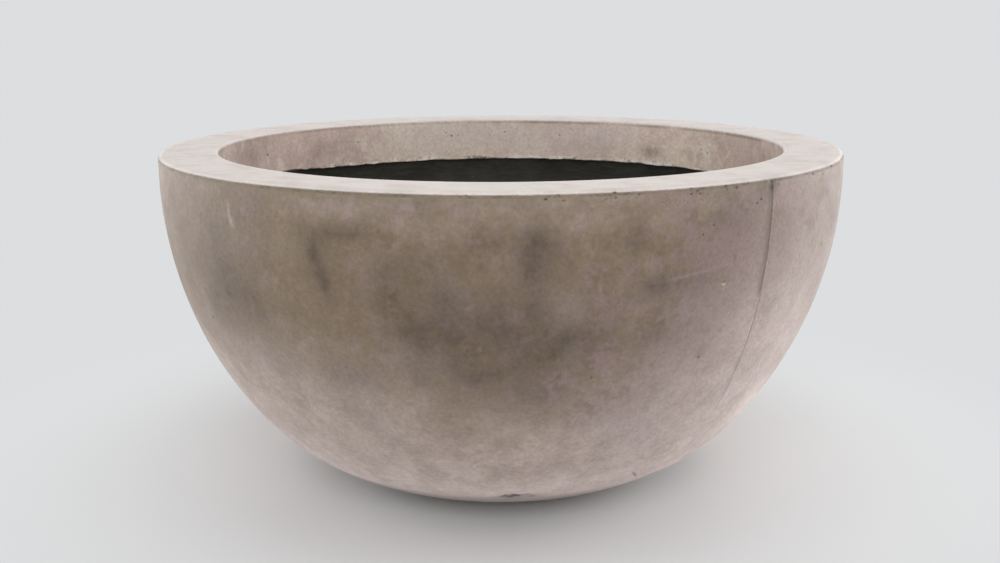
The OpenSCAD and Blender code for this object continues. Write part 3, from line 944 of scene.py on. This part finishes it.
# --- The drain plug -------------------------------------------------------------------
# A rubber plug with a pull tab, which is pressed into the sleeve when the bowl is to hold
# water. It is the CAD's own solid too, and slides straight up out of the sleeve.

PLUG_BLACK = srgb(56, 55, 53)

dress("drain_plug", moulded("plug_rubber", PLUG_BLACK, 0.55, 0.75))


# --- Floor, light and camera ----------------------------------------------------------
# A pale floor that runs out into a pale grey background, soft lamps on all four sides
# and above, and the camera where the photograph was taken.

BACKGROUND = srgb(220, 222, 223)
FLOOR_PALE = srgb(238, 238, 238)
FLOOR_SEEN = srgb(223, 224, 225)
SHADOW_NEAR, SHADOW_FAR = 0.28, 0.80    # the floor turns into the background between these
AMBIENT = 0.4


def seen_directly(tree):
    """1 where a surface is seen by the camera, in a reflection or through glass."""
    path = node(tree, "ShaderNodeLightPath")
    seen = maths(tree, "ADD", path.outputs["Is Camera Ray"], path.outputs["Is Glossy Ray"])
    return maths(tree, "ADD", seen, path.outputs["Is Transmission Ray"], clamp=True)


bpy.ops.object.select_all(action="DESELECT")
bpy.ops.mesh.primitive_circle_add(vertices=96, radius=6, fill_type="NGON", location=(0, 0, 0))
floor = bpy.context.object
floor.name = "floor"
plaster, tree, shader, space = new_material("floor")
shader.inputs["Roughness"].default_value = 0.9
seen = seen_directly(tree)
tree.links.new(coat_over(tree, FLOOR_PALE, FLOOR_SEEN, seen), shader.inputs["Base Color"])
paper = node(tree, "ShaderNodeEmission", {"Color": BACKGROUND, "Strength": 1.0})
share = times(tree, seen, fade(tree, length(tree, space), SHADOW_NEAR, SHADOW_FAR))
mixed = node(tree, "ShaderNodeMixShader", {0: share, 1: shader.outputs[0], 2: paper.outputs[0]})
tree.links.new(mixed.outputs[0], tree.nodes["Material Output"].inputs["Surface"])
floor.data.materials.append(plaster)

world = bpy.data.worlds.new("studio")
bpy.context.scene.world = world
world.use_nodes = True
tree = world.node_tree
room = tree.nodes["Background"]
room.inputs["Color"].default_value = (1, 1, 1, 1)
room.inputs["Strength"].default_value = AMBIENT
paper = node(tree, "ShaderNodeBackground", {"Color": BACKGROUND, "Strength": 1.0})
mixed = node(tree, "ShaderNodeMixShader", {0: seen_directly(tree), 1: room.outputs[0],
                                           2: paper.outputs[0]})
tree.links.new(mixed.outputs[0], tree.nodes["World Output"].inputs["Surface"])

LAMPS = [                       # name, place, width, height, power in watts
    ("left_box", (-1.75, 0.55, 0.45), 1.4, 0.8, 17),
    ("right_box", (1.75, 0.55, 0.45), 1.4, 0.8, 24),
    ("front_box", (0, -2.2, 1.3), 1.8, 1.0, 20),
    ("top_box", (0, -0.6, 2.5), 1.8, 1.2, 13),
    ("back_box", (0, 2.2, 0.5), 1.8, 0.8, 9),
]
LAMPS_AIM = (0, 0, 0.25)
for name, place, width, tall, power in LAMPS:
    bpy.ops.object.light_add(type="AREA", location=place)
    lamp = bpy.context.object
    lamp.name = name
    lamp.data.shape = "RECTANGLE"
    lamp.data.size, lamp.data.size_y = width, tall
    lamp.data.energy = power
    aim = Vector(LAMPS_AIM) - lamp.location
    lamp.rotation_euler = aim.to_track_quat("-Z", "Y").to_euler()
    lamp.visible_camera = False

CAMERA_PLACE = (0, -1.360, 0.5414)
CAMERA_DOWN = 0.231             # below level, in radians
CAMERA_ROLL = -0.0041           # in radians
CAMERA_LENS = 40.2              # on a sensor 36 mm wide
CAMERA_SHIFT = -0.00135

camera_data = bpy.data.cameras.new("camera")
camera = bpy.data.objects.new("camera", camera_data)
bpy.context.scene.collection.objects.link(camera)
camera.location = CAMERA_PLACE
camera.rotation_euler = (Matrix.Rotation(math.radians(90) - CAMERA_DOWN, 4, "X")
                         @ Matrix.Rotation(CAMERA_ROLL, 4, "Z")).to_euler()
camera_data.sensor_width = 36
camera_data.lens = CAMERA_LENS
camera_data.shift_x = CAMERA_SHIFT
bpy.context.scene.camera = camera
bpy.context.scene.view_settings.view_transform = "Standard"
